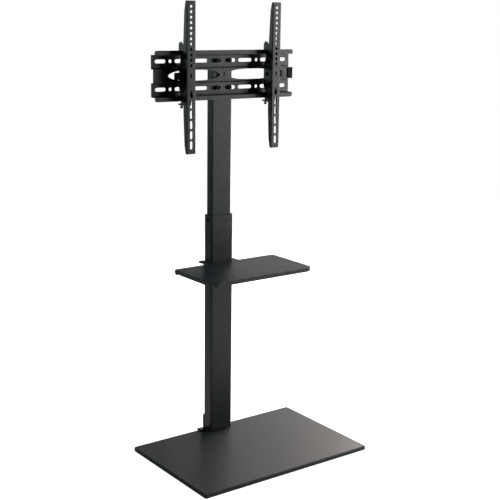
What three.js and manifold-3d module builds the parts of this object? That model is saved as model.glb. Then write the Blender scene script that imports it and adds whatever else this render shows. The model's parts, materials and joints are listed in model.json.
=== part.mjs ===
// Television stand: flat base, telescopic column, sliding shelf and a hook plate with two tilting arms.
// Millimetres. +X is to the right, +Y to the rear and +Z up, with the floor at zero.
import * as THREE from "three";
import { mergeVertices } from "three/addons/utils/BufferGeometryUtils.js";
import Module from "manifold-3d";

const wasm = await Module();
wasm.setup();

// Clearances and cuts that every piece shares
const seat = 0.3; // between two faces that touch
const bore = 0.3; // round a screw in its hole
const overrun = 2; // how far a cut passes the faces that it opens
const weld = 1e-4; // vertices closer than this are one

// Facets
const roundSides = 16;
const smallSides = 12;
const hexSides = 6;
const filletStep = Math.PI / 8;
const lensSteps = 32;

// Base tray and what lies under it
const base = {
  width: 600,
  depth: 400,
  height: 14.5,
  lift: 2, // rim above the floor
  sheet: 2,
  cornerRadius: 5,
  edgeRadius: 2,
};
const ballast = { thickness: 4, margin: 14 };
const pad = { radius: 16, inset: 45 };

// Column tubes
const outerTube = { width: 80, depth: 40, wall: 2, cornerRadius: 4, height: 701 };
const innerTube = { width: 70, depth: 30, wall: 2, cornerRadius: 3, length: 775, top: 1205 };
const columnOverhang = 0.8; // rear face of the column behind the rear edge of the base
const collar = { height: 60, fit: 0.3 };
const shoe = { flange: 8, plug: 22 };
const cap = { flange: 2.5, plug: 10 };
const heightLock = { fromTop: 15, shank: 3, headRadius: 4.5, headHeight: 3 };

// Foot plate with the upright wall behind the column
const foot = {
  width: 129,
  thickness: 4,
  frontSetback: 9, // behind the front face of the column
  chamferWidth: 18,
  chamferDepth: 30,
  wallWidth: 82.5,
  wallHeight: 48.5,
  wallThickness: 3.5,
};
const footBolt = {
  shank: 4,
  headRadius: 5.5,
  headHeight: 4,
  nutRadius: 7.5,
  nutHeight: 5,
  sideInset: 16, // from the end of the foot plate
  behind: 4, // behind the column axis
  innerSpacing: 40,
  protrusion: 5, // thread past the tapped boss
  bossRadius: 7,
  bossHeight: 5,
};
const wallBolt = {
  shank: 4,
  headRadius: 6.5,
  headHeight: 3.5,
  spacing: 36,
  height: 32, // above the top of the base
  bossRadius: 7,
  bossHeight: 5,
};

// Shelf tray
const shelf = {
  width: 372.6,
  depth: 207,
  height: 573.5, // top face above the floor
  offset: 5, // of the tray to the right of the column
  setback: 28.5, // rear edge ahead of the column axis
  sheet: 1.5,
  flange: 12,
  rearFlange: 18.5,
  cornerRadius: 24,
  rearRadius: 6,
  edgeRadius: 1.2,
  seamWidth: 1.6,
};
const tongue = {
  neck: 55, // half width
  fillet: 6,
  ear: 59, // half width
  earRadius: 3,
  flareStart: 9, // behind the column axis
  flareEnd: 16,
  end: 23.5,
  rim: 6.5,
  sideGap: 0.5,
};

// Bracket and clamp under the shelf
const bracket = {
  wall: 3,
  height: 66,
  reach: 100, // of the top plate ahead of the column
  noseHeight: 10,
  earWidth: 14,
  earThickness: 3,
};
const clamp = { thickness: 3, height: 40, drop: 19, gap: 0.4 };
const clampScrew = {
  shank: 3,
  headRadius: 5.5,
  headHeight: 4,
  nutRadius: 5.5,
  nutHeight: 5,
  drop: 36, // below the top of the shelf
  tail: 1,
};
const stud = { radius: 2.5, spacing: 60, pitch: 60, frontInset: 18, tail: 2, nutRadius: 4.6, nutHeight: 4 };

// Hook plate
const plate = {
  width: 496,
  height: 145,
  centre: 1147, // above the floor
  sheet: 2.5,
  bend: 1,
  reach: 21, // front of the lips ahead of the front of the web
  lip: 14.5,
  lipRadius: 7,
  bandHeight: 44.5,
  bandStep: 3,
  bandSlope: 3,
  bandInset: 5, // of the band ends from the ends of the plate
};
const slotRow = { spacing: 80, lift: 1.5, radius: 5.5, holeRadius: 5.5 };
const slotSpanShares = [
  [0.224, 0.429],
  [0.556, 0.684],
  [0.805, 0.952],
];
const slotHoleShares = [0.498, 0.744];
const boltSlot = { inner: 15.3, outer: 22.4 }; // of the first slot, from its bolt
const lens = { centre: 103.3, halfLength: 90.3, halfHeight: 15.6, fullness: 3, bluntness: 0.6 };
const slit = { offset: 2, rise: 4.5, radius: 2.8, tailRadius: 1.6, tail: 11 };
const endHole = { radius: 2.4, inset: 26, pitch: 16 };
const plateBolt = {
  spacing: 46.6,
  shank: 3,
  flangeRadius: 7.1,
  flangeHeight: 1.6,
  headRadius: 5.8,
  headHeight: 5,
  tail: 3,
};
const nutBar = { thickness: 6, overlap: 6, width: 62 }; // overlap past the bolts
const endStop = { length: 19, height: 34, thickness: 8, overlap: 1.5, leg: 27 };

// Arms, brackets and their screws, from the tilt axis
const pivot = { ahead: 11, shank: 4, headRadius: 5, headHeight: 4, tail: 8 };
const armPlace = { left: -149.1, right: 156.7 };
const tilt = { forward: 12, back: 5, spare: 1.5 }; // degrees
const arm = {
  width: 31,
  sheet: 2,
  bend: 2.5,
  rise: 212, // of the top end above the axis
  drop: 223, // of the bottom end below it
  face: 25, // front face ahead of it
  tipDepth: 6.5,
  shoulderDepth: 13,
  shoulderLength: 26,
  midDepth: 18.5,
  taperLength: 115,
  lugDepth: 33,
  lugHeight: 104,
  lugRamp: 12,
  tipRadius: 3,
};
const armHole = { radius: 4.1, first: 16, pitch: 15, count: 12 };
const armSlot = { radius: 4.3, length: 24, first: 25.5, pitch: 29.6, count: 5 };
const armSlit = { radius: 3.5, rise: 4.5, tailRadius: 1.6, tail: 9.2 };
const armKey = { radius: 4.5, drop: 57, length: 7.5, neckRadius: 2.5, neckLength: 14.5 };
const hook = {
  sheet: 2,
  side: 0.3, // gap to the webs of the arm
  nose: 18, // front edge ahead of the axis
  noseTop: 18,
  noseBottom: 7,
  browAhead: 11,
  browDrop: 16, // of the brow below the crown
  browRadius: 14,
  crown: 97,
  crownRadius: 11,
  crownBehind: 7.5, // front end of the crown behind the axis
  crownFrontRadius: 8,
  tipThickness: 8.5,
  tipRadius: 1.5,
  tipDrop: 10.5, // of the hook tip below the top of the lip
  footAhead: 3,
  footDrop: 85,
  bulge: 9.6, // of the side plates behind the front of the lips
  bulgeRise: 22, // of its full depth above the axis
  bulgeDrop: 38, // and below it
  bulgeHead: 52, // where it ends above the axis
  bulgeFoot: 54, // and below it
  tabThickness: 5,
  tabHalf: 8,
  tabReach: 22, // of the tab behind the front of the lips
};
const guide = {
  ahead: 7,
  rise: 37,
  shank: 3,
  headRadius: 9,
  headHeight: 2.6,
  nutRadius: 5.8,
  nutHeight: 5,
  tail: 1.5,
};
const knob = { half: 10.2, height: 21, cornerRadius: 3.5, grooveRadius: 1.6, boreDepth: 10 };
const lockScrew = {
  shank: 2.5,
  behindLip: 14, // axis behind the rear of the lips
  headRadius: 4.6,
  headHeight: 7,
  neck: 2,
  gap: 3, // tip below the flange of the plate
};

// Places that follow from the sizes
const columnY = base.depth / 2 + columnOverhang - outerTube.depth / 2;
const footTop = base.height + seat + foot.thickness;
const outerBottom = footTop + seat;
const outerTop = outerBottom + outerTube.height;
const ballastTop = base.height - base.sheet - seat;
const ballastBottom = ballastTop - ballast.thickness;
const wallRear = outerTube.depth / 2 + seat + foot.wallThickness;
const clampRear = outerTube.depth / 2 + seat + clamp.thickness;
const rearReach = columnY + Math.max(
  wallRear + seat + wallBolt.headHeight,
  clampRear + seat + clampScrew.headHeight,
);
const originShift = (rearReach - base.depth / 2) / 2;
const webRear = -innerTube.depth / 2 - seat;
const webFront = webRear - plate.sheet;
const lipFront = webFront - plate.reach;
const pivotY = lipFront - pivot.ahead;
const armHalf = arm.width / 2;
const hookHalf = armHalf - arm.sheet - hook.side;

// Materials
function powderCoatedSteel() {
  return new THREE.MeshStandardMaterial({ color: 0x35393a, roughness: 0.62, metalness: 0.25 });
}

function blackScrewSteel() {
  return new THREE.MeshStandardMaterial({ color: 0x17181a, roughness: 0.42, metalness: 0.7 });
}

function zincSteel() {
  return new THREE.MeshStandardMaterial({ color: 0x8d9092, roughness: 0.4, metalness: 0.9 });
}

function blackPlastic() {
  return new THREE.MeshStandardMaterial({ color: 0x121314, roughness: 0.55, metalness: 0 });
}

function blackRubber() {
  return new THREE.MeshStandardMaterial({ color: 0x1a1a1b, roughness: 0.9, metalness: 0 });
}

// Outlines
function arc(x, y, radius, from, to, steps) {
  return Array.from({ length: steps + 1 }, (_, i) => {
    const angle = from + ((to - from) * i) / steps;
    return new THREE.Vector2(x + radius * Math.cos(angle), y + radius * Math.sin(angle));
  });
}

function outline(points) {
  const kept = points.filter((p, i) => p.distanceTo(points[(i + 1) % points.length]) > weld);
  return new THREE.Shape(kept);
}

function disc(x, y, radius, sides = roundSides) {
  return outline(arc(x, y, radius, 0, 2 * Math.PI, sides));
}

function hexagon(x, y, radius) {
  return disc(x, y, radius, hexSides);
}

// A polygon of corners [x, y, radius], each rounded by its own radius.
function rounded(corners) {
  const count = corners.length;
  const points = corners.flatMap(([x, y, radius = 0], i) => {
    const here = new THREE.Vector2(x, y);
    if (radius === 0) return [here];
    const [px, py] = corners[(i + count - 1) % count];
    const [nx, ny] = corners[(i + 1) % count];
    const back = new THREE.Vector2(px - x, py - y).normalize();
    const on = new THREE.Vector2(nx - x, ny - y).normalize();
    const half = Math.acos(THREE.MathUtils.clamp(back.dot(on), -1, 1)) / 2;
    const start = here.clone().addScaledVector(back, radius / Math.tan(half));
    const bisector = back.clone().add(on).normalize();
    const centre = here.clone().addScaledVector(bisector, radius / Math.sin(half));
    const turn = Math.PI - 2 * half;
    const sign = Math.sign(on.cross(back));
    const from = Math.atan2(start.y - centre.y, start.x - centre.x);
    const steps = Math.max(1, Math.round(turn / filletStep));
    return arc(centre.x, centre.y, radius, from, from + sign * turn, steps);
  });
  return outline(points);
}

function rectangle([left, right], [low, high], radius = 0) {
  return rounded([
    [left, low, radius],
    [right, low, radius],
    [right, high, radius],
    [left, high, radius],
  ]);
}

function centredRectangle(width, depth, radius = 0) {
  return rectangle([-width / 2, width / 2], [-depth / 2, depth / 2], radius);
}

// A slot with round ends, between the centres of its two end arcs.
function slot([x0, y0], [x1, y1], radius) {
  const along = Math.atan2(y1 - y0, x1 - x0);
  const quarter = Math.PI / 2;
  const steps = smallSides / 2;
  return outline([
    ...arc(x1, y1, radius, along - quarter, along + quarter, steps),
    ...arc(x0, y0, radius, along + quarter, along + 3 * quarter, steps),
  ]);
}

// A slot bent round a centre, between two angles.
function bentSlot(x, y, bendRadius, from, to, radius) {
  const steps = smallSides / 2;
  const capAt = (angle, start) =>
    arc(
      x + bendRadius * Math.cos(angle),
      y + bendRadius * Math.sin(angle),
      radius,
      start,
      start + Math.PI,
      steps,
    );
  return outline([
    ...arc(x, y, bendRadius + radius, from, to, steps),
    ...capAt(to, to),
    ...arc(x, y, bendRadius - radius, to, from, steps),
    ...capAt(from, from + Math.PI),
  ]);
}

// The section of a folded sheet, from the corners of its middle line.
function foldedSection(path, thickness, bend) {
  const last = path.length - 1;
  const line = path.map(([x, y]) => new THREE.Vector2(x, y));
  const normals = line.slice(0, last).map((p, i) => {
    const d = line[i + 1].clone().sub(p).normalize();
    return new THREE.Vector2(-d.y, d.x);
  });
  const sideOf = (sign) =>
    line.map((p, i) => {
      const before = normals[Math.max(i - 1, 0)];
      const after = normals[Math.min(i, last - 1)];
      const mitre = before.clone().add(after).normalize();
      const reach = (sign * thickness) / 2 / mitre.dot(after);
      const turn = before.cross(after) * sign;
      const radius = i === 0 || i === last ? 0 : turn > 0 ? bend : bend + thickness;
      return [p.x + mitre.x * reach, p.y + mitre.y * reach, radius];
    });
  return rounded([...sideOf(-1), ...sideOf(1).reverse()]);
}

// Solids
function solidOf(geometry) {
  geometry.deleteAttribute("normal");
  geometry.deleteAttribute("uv");
  const merged = mergeVertices(geometry, weld);
  const mesh = new wasm.Mesh({
    numProp: 3,
    vertProperties: merged.attributes.position.array,
    triVerts: Uint32Array.from(merged.index.array),
  });
  return new wasm.Manifold(mesh);
}

const axes = {
  x: new THREE.Vector3(1, 0, 0),
  y: new THREE.Vector3(0, 1, 0),
  z: new THREE.Vector3(0, 0, 1),
};

// An outline drawn in x and y, carried up from low to high.
function upPrism(shape, [low, high]) {
  const geometry = new THREE.ExtrudeGeometry(shape, { depth: high - low, bevelEnabled: false });
  return solidOf(geometry.translate(0, 0, low));
}

// An outline drawn in y and z, carried from left to right.
function sidePrism(shape, [left, right]) {
  const geometry = new THREE.ExtrudeGeometry(shape, { depth: right - left, bevelEnabled: false });
  const turn = new THREE.Matrix4().makeBasis(axes.y, axes.z, axes.x);
  return solidOf(geometry.applyMatrix4(turn).translate(left, 0, 0));
}

// An outline drawn in x and z, carried from front to rear.
function frontPrism(shape, [front, rear]) {
  const geometry = new THREE.ExtrudeGeometry(shape, { depth: rear - front, bevelEnabled: false });
  const turn = new THREE.Matrix4().makeBasis(axes.x, axes.z, axes.y.clone().negate());
  return solidOf(geometry.applyMatrix4(turn).translate(0, rear, 0));
}

function block([left, right], [front, rear], [low, high]) {
  const geometry = new THREE.BoxGeometry(right - left, rear - front, high - low);
  return solidOf(geometry.translate((left + right) / 2, (front + rear) / 2, (low + high) / 2));
}

function joined(solids) {
  return solids.reduce((sum, solid) => sum.add(solid));
}

function cut(solid, tools) {
  return tools.reduce((rest, tool) => rest.subtract(tool), solid);
}

// A plate whose upper edge is rounded: an outline inset by the rounding, bevelled and cut flat below.
function roundedTopPlate(shapeOf, edge, [low, high]) {
  const geometry = new THREE.ExtrudeGeometry(shapeOf(edge), {
    depth: high - low,
    bevelThickness: edge,
    bevelSize: edge,
    bevelSegments: 3,
  });
  const whole = solidOf(geometry.translate(0, 0, low - edge));
  const box = new THREE.Box3().setFromBufferAttribute(geometry.attributes.position);
  const below = block(
    [box.min.x - overrun, box.max.x + overrun],
    [box.min.y - overrun, box.max.y + overrun],
    [box.min.z - overrun, low],
  );
  return whole.subtract(below);
}

function meshOf(name, solid, material) {
  const { vertProperties, triVerts } = solid.getMesh();
  const geometry = new THREE.BufferGeometry();
  geometry.setAttribute("position", new THREE.BufferAttribute(vertProperties, 3));
  geometry.setIndex(new THREE.BufferAttribute(triVerts, 1));
  geometry.computeVertexNormals();
  const mesh = new THREE.Mesh(geometry, material);
  mesh.name = name;
  return mesh;
}

// From one distance to another, towards the negative or the positive side.
function sideSpan(side, from, to) {
  return side < 0 ? [-to, -from] : [from, to];
}

// Small hardware
function uprightRod(x, y, radius, span, sides = smallSides) {
  return upPrism(disc(x, y, radius, sides), span);
}

function crossRod(y, z, radius, span, sides = smallSides) {
  return sidePrism(disc(y, z, radius, sides), span);
}

function depthRod(x, z, radius, span, sides = smallSides) {
  return frontPrism(disc(x, z, radius, sides), span);
}

// Base
function basePan() {
  const planOf = (inset) =>
    centredRectangle(base.width - 2 * inset, base.depth - 2 * inset, base.cornerRadius - inset);
  const shell = roundedTopPlate(planOf, base.edgeRadius, [base.lift, base.height]);
  const hollow = upPrism(planOf(base.sheet), [base.lift - overrun, base.height - base.sheet]);
  return cut(shell, [hollow, ...footHoles([base.lift, base.height + overrun])]);
}

function footBoltPlaces() {
  const x = foot.width / 2 - footBolt.sideInset;
  return [-x, x].map((place) => [place, columnY + footBolt.behind]);
}

function footInnerPlaces() {
  const x = footBolt.innerSpacing / 2;
  return [-x, x].map((place) => [place, columnY]);
}

function footHoles(span) {
  const places = [...footBoltPlaces(), ...footInnerPlaces()];
  return places.map(([x, y]) => uprightRod(x, y, footBolt.shank + bore, span));
}

function ballastPlate() {
  const plan = centredRectangle(base.width - 2 * ballast.margin, base.depth - 2 * ballast.margin);
  const sheet = upPrism(plan, [ballastBottom, ballastTop]);
  return cut(sheet, footHoles([ballastBottom - overrun, ballastTop + overrun]));
}

function padAt(xSide, ySide) {
  const x = xSide * (base.width / 2 - pad.inset);
  const y = ySide * (base.depth / 2 - pad.inset);
  return uprightRod(x, y, pad.radius, [0, ballastBottom - seat], roundSides);
}

function footBracket() {
  const half = foot.width / 2;
  const front = columnY - outerTube.depth / 2 + foot.frontSetback;
  const rear = columnY + wallRear;
  const plan = rounded([
    [-half + foot.chamferWidth, front],
    [half - foot.chamferWidth, front],
    [half, front + foot.chamferDepth],
    [half, rear],
    [-half, rear],
    [-half, front + foot.chamferDepth],
  ]);
  const low = base.height + seat;
  const wallSpan = [-foot.wallWidth / 2, foot.wallWidth / 2];
  const wall = block(wallSpan, [rear - foot.wallThickness, rear], [low, base.height + foot.wallHeight]);
  const bosses = footInnerPlaces().map(([x, y]) =>
    uprightRod(x, y, footBolt.bossRadius, [low, footTop + footBolt.bossHeight]),
  );
  const body = joined([upPrism(plan, [low, footTop]), wall, ...bosses]);
  const z = base.height + wallBolt.height;
  const wallHoles = [-1, 1].map((side) =>
    depthRod((side * wallBolt.spacing) / 2, z, wallBolt.shank + bore, [
      rear - foot.wallThickness - overrun,
      rear + overrun,
    ]),
  );
  const high = footTop + footBolt.bossHeight + overrun;
  return cut(body, [...footHoles([low - overrun, high]), ...wallHoles]);
}

function footBoltAt([x, y]) {
  const headLow = footTop + seat;
  return joined([
    uprightRod(x, y, footBolt.headRadius, [headLow, headLow + footBolt.headHeight]),
    uprightRod(x, y, footBolt.shank, [ballastBottom - seat - footBolt.nutHeight, headLow + overrun]),
  ]);
}

function footNutAt([x, y]) {
  const high = ballastBottom - seat;
  const span = [high - footBolt.nutHeight, high];
  const hole = uprightRod(x, y, footBolt.shank + bore, [span[0] - overrun, high + overrun]);
  return upPrism(hexagon(x, y, footBolt.nutRadius), span).subtract(hole);
}

function footInnerBoltAt([x, y]) {
  const high = ballastBottom - seat;
  const head = upPrism(hexagon(x, y, footBolt.nutRadius), [high - footBolt.nutHeight, high]);
  const tip = footTop + footBolt.bossHeight + footBolt.protrusion;
  return head.add(uprightRod(x, y, footBolt.shank, [high - overrun, tip]));
}

function footWallBolt(side) {
  const x = (side * wallBolt.spacing) / 2;
  const z = base.height + wallBolt.height;
  const headFront = columnY + wallRear + seat;
  const tip = columnY + outerTube.depth / 2 - outerTube.wall - wallBolt.bossHeight;
  return joined([
    depthRod(x, z, wallBolt.headRadius, [headFront, headFront + wallBolt.headHeight]),
    depthRod(x, z, wallBolt.shank, [tip, headFront + overrun]),
  ]);
}

function makeBase() {
  const group = new THREE.Group();
  group.add(meshOf("base_pan", basePan(), powderCoatedSteel()));
  group.add(meshOf("base_ballast_plate", ballastPlate(), powderCoatedSteel()));
  const corners = { front_left: [-1, -1], front_right: [1, -1], rear_left: [-1, 1], rear_right: [1, 1] };
  for (const [place, [xSide, ySide]] of Object.entries(corners)) {
    group.add(meshOf("base_pad_" + place, padAt(xSide, ySide), blackRubber()));
  }
  group.add(meshOf("foot_bracket", footBracket(), powderCoatedSteel()));
  ["left", "right"].forEach((side, i) => {
    const outer = footBoltPlaces()[i];
    const inner = footInnerPlaces()[i];
    group.add(meshOf("foot_bolt_" + side, footBoltAt(outer), blackScrewSteel()));
    group.add(meshOf("foot_nut_" + side, footNutAt(outer), zincSteel()));
    group.add(meshOf("foot_inner_bolt_" + side, footInnerBoltAt(inner), zincSteel()));
    group.add(meshOf("foot_wall_bolt_" + side, footWallBolt(side === "left" ? -1 : 1), blackScrewSteel()));
  });
  return group;
}

// Column, drawn round its own axis
function tube({ width, depth, wall, cornerRadius }, span) {
  const outside = upPrism(centredRectangle(width, depth, cornerRadius), span);
  const through = [span[0] - overrun, span[1] + overrun];
  const inner = centredRectangle(width - 2 * wall, depth - 2 * wall, cornerRadius - wall);
  return outside.subtract(upPrism(inner, through));
}

function heightLockHole(side, radius, inside) {
  const z = outerTop - heightLock.fromTop;
  return crossRod(0, z, radius, sideSpan(side, inside, outerTube.width / 2 + overrun));
}

function outerTubeSolid() {
  const body = tube(outerTube, [outerBottom, outerTop]);
  const rear = outerTube.depth / 2;
  const z = base.height + wallBolt.height;
  const bossAt = (x, radius, front) => depthRod(x, z, radius, [front, rear + overrun]);
  const places = [-wallBolt.spacing / 2, wallBolt.spacing / 2];
  const bossFront = rear - outerTube.wall - wallBolt.bossHeight;
  const bosses = places.map((x) =>
    depthRod(x, z, wallBolt.bossRadius, [bossFront, rear - outerTube.wall / 2]),
  );
  const inside = outerTube.width / 2 - outerTube.wall - overrun;
  return cut(joined([body, ...bosses]), [
    ...places.map((x) => bossAt(x, wallBolt.shank + bore, bossFront - overrun)),
    ...[-1, 1].map((side) => heightLockHole(side, heightLock.shank + bore, inside)),
  ]);
}

function guideCollar() {
  const inset = 2 * (outerTube.wall + collar.fit);
  const width = outerTube.width - inset;
  const depth = outerTube.depth - inset;
  const wall = (width - innerTube.width) / 2 - collar.fit;
  const cornerRadius = Math.max(outerTube.cornerRadius - outerTube.wall, wall);
  const body = tube({ width, depth, wall, cornerRadius }, [outerTop - collar.height, outerTop]);
  const inside = innerTube.width / 2;
  return cut(body, [-1, 1].map((side) => heightLockHole(side, heightLock.shank + bore, inside)));
}

function heightLockScrew(side) {
  const z = outerTop - heightLock.fromTop;
  const face = outerTube.width / 2 + seat;
  const tip = innerTube.width / 2 + seat;
  return joined([
    crossRod(0, z, heightLock.headRadius, sideSpan(side, face, face + heightLock.headHeight)),
    crossRod(0, z, heightLock.shank, sideSpan(side, tip, face + heightLock.headHeight / 2)),
  ]);
}

function makeColumn() {
  const group = new THREE.Group();
  group.position.set(0, columnY, 0);
  group.add(meshOf("outer_tube", outerTubeSolid(), powderCoatedSteel()));
  group.add(meshOf("guide_collar", guideCollar(), blackPlastic()));
  group.add(meshOf("height_lock_screw_left", heightLockScrew(-1), blackScrewSteel()));
  group.add(meshOf("height_lock_screw_right", heightLockScrew(1), blackScrewSteel()));
  return group;
}

// Mast: the inner tube and its plugs
function slitShapes(centre) {
  const z = centre + slit.rise;
  return [
    disc(slit.offset, z, slit.radius, smallSides),
    slot([slit.offset, z - slit.tail], [slit.offset, z], slit.tailRadius),
  ];
}

function slitCuts(span) {
  return slitShapes(plate.centre).map((shape) => frontPrism(shape, span));
}

function plateBoltPlaces() {
  return {
    upper_left: [-1, 1],
    upper_right: [1, 1],
    lower_left: [-1, -1],
    lower_right: [1, -1],
  };
}

function plateBoltPlace([xSide, zSide]) {
  const x = (xSide * plateBolt.spacing) / 2;
  return [x, plate.centre + slotRow.lift + (zSide * slotRow.spacing) / 2];
}

function plateBoltHoles(span) {
  return Object.values(plateBoltPlaces()).map((sides) => {
    const [x, z] = plateBoltPlace(sides);
    return depthRod(x, z, plateBolt.shank + bore, span);
  });
}

function innerTubeSolid() {
  const front = -innerTube.depth / 2;
  const body = tube(innerTube, [innerTube.top - innerTube.length, innerTube.top]);
  const through = [front - overrun, front + innerTube.wall + overrun];
  return cut(body, [...plateBoltHoles(through), ...slitCuts(through)]);
}

// A plug with a flange, below or above the tube end that it closes.
function tubePlug(end, side, flangeWidth, flangeDepth, sizes) {
  const fit = 2 * (innerTube.wall + collar.fit);
  const radius = innerTube.cornerRadius;
  const flange = centredRectangle(flangeWidth, flangeDepth, radius);
  const plug = centredRectangle(innerTube.width - fit, innerTube.depth - fit, radius - innerTube.wall);
  const span = (from, to) => (side < 0 ? [end - to, end - from] : [end + from, end + to]);
  return joined([
    upPrism(flange, span(seat, seat + sizes.flange)),
    upPrism(plug, span(-sizes.plug, seat + sizes.flange / 2)),
  ]);
}

function tubeShoe() {
  const inside = 2 * (outerTube.wall + collar.fit);
  const bottom = innerTube.top - innerTube.length;
  return tubePlug(bottom, -1, outerTube.width - inside, outerTube.depth - inside, shoe);
}

function tubeCap() {
  return tubePlug(innerTube.top, 1, innerTube.width, innerTube.depth, cap);
}

function nutBarSolid() {
  const front = -innerTube.depth / 2 + innerTube.wall + seat;
  const half = nutBar.width / 2;
  const middle = plate.centre + slotRow.lift;
  const reach = slotRow.spacing / 2 + nutBar.overlap;
  const body = block([-half, half], [front, front + nutBar.thickness], [middle - reach, middle + reach]);
  const through = [front - overrun, front + nutBar.thickness + overrun];
  return cut(body, [...plateBoltHoles(through), ...slitCuts(through)]);
}

function plateBoltSolid(sides) {
  const [x, z] = plateBoltPlace(sides);
  const flangeRear = webFront - seat;
  const flangeFront = flangeRear - plateBolt.flangeHeight;
  const tip = -innerTube.depth / 2 + innerTube.wall + seat + nutBar.thickness + plateBolt.tail;
  return joined([
    depthRod(x, z, plateBolt.flangeRadius, [flangeFront, flangeRear], roundSides),
    frontPrism(hexagon(x, z, plateBolt.headRadius), [
      flangeFront - plateBolt.headHeight,
      flangeFront + plateBolt.flangeHeight / 2,
    ]),
    depthRod(x, z, plateBolt.shank, [flangeFront, tip]),
  ]);
}

// Hook plate
function plateSection() {
  const half = plate.height / 2;
  const middle = plate.sheet / 2;
  const lipY = lipFront + middle;
  const webY = webFront + middle;
  const bandY = webY - plate.bandStep;
  const flangeZ = half - plate.lip + middle;
  const bandZ = plate.bandHeight / 2 - plate.bandSlope;
  const upper = [
    [lipY, half],
    [lipY, flangeZ],
    [webY, flangeZ],
    [webY, bandZ + plate.bandSlope],
    [bandY, bandZ],
  ];
  const lower = upper.map(([y, z]) => [y, -z]).reverse();
  return foldedSection([...upper, ...lower], plate.sheet, plate.bend);
}

function lensOutline(side) {
  const points = Array.from({ length: lensSteps }, (_, i) => {
    const turn = (2 * Math.PI * i) / lensSteps;
    const across = Math.cos(turn);
    const narrowing = Math.max(1 - Math.abs(across) ** lens.fullness, 0);
    const height = lens.halfHeight * narrowing ** lens.bluntness;
    const x = side * lens.centre + lens.halfLength * across;
    return new THREE.Vector2(x, height * Math.sign(Math.sin(turn)));
  });
  return outline(points);
}

function plateCuts() {
  const half = plate.width / 2;
  const bolt = plateBolt.spacing / 2;
  const end = slotRow.radius;
  const spans = [
    [bolt - boltSlot.inner, bolt + boltSlot.outer],
    ...slotSpanShares.map(([from, to]) => [from * half, to * half]),
  ];
  const rows = [-1, 1].map((side) => slotRow.lift + (side * slotRow.spacing) / 2);
  const shapes = [-1, 1].flatMap((side) => [
    lensOutline(side),
    ...rows.flatMap((z) => [
      ...spans.map(([from, to]) => slot([side * (from + end), z], [side * (to - end), z], end)),
      ...slotHoleShares.map((share) => disc(side * share * half, z, slotRow.holeRadius, smallSides)),
    ]),
  ]);
  const endHoles = [0, 1].map((row) =>
    disc(half - endHole.inset, -row * endHole.pitch, endHole.radius, smallSides),
  );
  return [...shapes, ...endHoles, ...slitShapes(0)].map((shape) => frontPrism(shape, [webFront - plate.bandStep - overrun, webRear + overrun]));
}

function hookPlateSolid() {
  const half = plate.width / 2;
  const halfHeight = plate.height / 2;
  const folded = sidePrism(plateSection(), [-half, half]);
  const front = rectangle([-half, half], [-halfHeight, halfHeight], plate.lipRadius);
  const trimmed = folded.intersect(frontPrism(front, [lipFront - overrun, webRear + overrun]));
  const bandHalf = plate.bandHeight / 2 - plate.bandSlope;
  const depth = [webFront - plate.bandStep - overrun, webRear + overrun];
  const notches = [-1, 1].map((side) =>
    block(sideSpan(side, half - plate.bandInset, half + overrun), depth, [-bandHalf, bandHalf]),
  );
  return cut(trimmed, [...notches, ...plateCuts()]);
}

function endStopSolid() {
  const left = plate.width / 2 - plate.bandInset - endStop.overlap;
  const middle = webFront - plate.bandStep + plate.sheet / 2;
  const shape = rectangle([left, left + endStop.length], [-endStop.height / 2, endStop.height / 2]);
  const depth = [middle - endStop.thickness / 2, middle + endStop.thickness / 2];
  const half = plate.sheet / 2 + seat;
  const legHeight = [-endStop.height / 2, endStop.height / 2];
  const leg = block([left - endStop.leg, left + overrun], [middle + half, depth[1]], legHeight);
  const body = frontPrism(shape, depth).add(leg);
  const mouth = block(
    [left - overrun, plate.width / 2 - plate.bandInset + seat],
    [middle - half, middle + half],
    [-plate.height / 2, plate.height / 2],
  );
  const stepZ = plate.bandHeight / 2 - plate.bandSlope - plate.bend;
  const acrossStop = [left - overrun, left + endStop.length + overrun];
  const throughStop = [depth[0] - overrun, depth[1] + overrun];
  const clearOfSteps = [-1, 1].map((side) =>
    block(acrossStop, throughStop, sideSpan(side, stepZ, plate.height)),
  );
  return cut(body, [mouth, ...clearOfSteps]);
}

function makeMast() {
  const group = new THREE.Group();
  group.position.set(0, columnY, 0);
  group.add(meshOf("inner_tube", innerTubeSolid(), powderCoatedSteel()));
  group.add(meshOf("tube_shoe", tubeShoe(), blackPlastic()));
  group.add(meshOf("tube_cap", tubeCap(), blackPlastic()));
  group.add(meshOf("nut_bar", nutBarSolid(), zincSteel()));
  for (const [place, sides] of Object.entries(plateBoltPlaces())) {
    group.add(meshOf("plate_bolt_" + place, plateBoltSolid(sides), blackScrewSteel()));
  }
  const mount = new THREE.Group();
  mount.position.set(0, 0, plate.centre);
  mount.add(meshOf("hook_plate", hookPlateSolid(), powderCoatedSteel()));
  mount.add(meshOf("end_stop", endStopSolid(), blackPlastic()));
  group.add(mount);
  return group;
}

// Shelf, drawn from the column axis at the height of its top face
function studPlaces() {
  const front = -outerTube.depth / 2 - seat - bracket.reach;
  const rows = [front + stud.frontInset, front + stud.frontInset + stud.pitch];
  return rows.flatMap((y) => [-1, 1].map((side) => [(side * stud.spacing) / 2, y]));
}

function tonguePlan(rear, inset) {
  const neck = tongue.neck - inset;
  const root = neck + tongue.fillet + inset;
  const ear = tongue.ear - inset;
  const end = tongue.end - inset;
  const join = rear - 2 * shelf.sheet;
  return rounded([
    [root, join],
    [root, rear],
    [neck, rear, tongue.fillet + inset],
    [neck, tongue.flareStart + inset],
    [ear, tongue.flareEnd + inset],
    [ear, end, tongue.earRadius - inset],
    [-ear, end, tongue.earRadius - inset],
    [-ear, tongue.flareEnd + inset],
    [-neck, tongue.flareStart + inset],
    [-neck, rear, tongue.fillet + inset],
    [-root, rear],
    [-root, join],
  ]);
}

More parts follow.
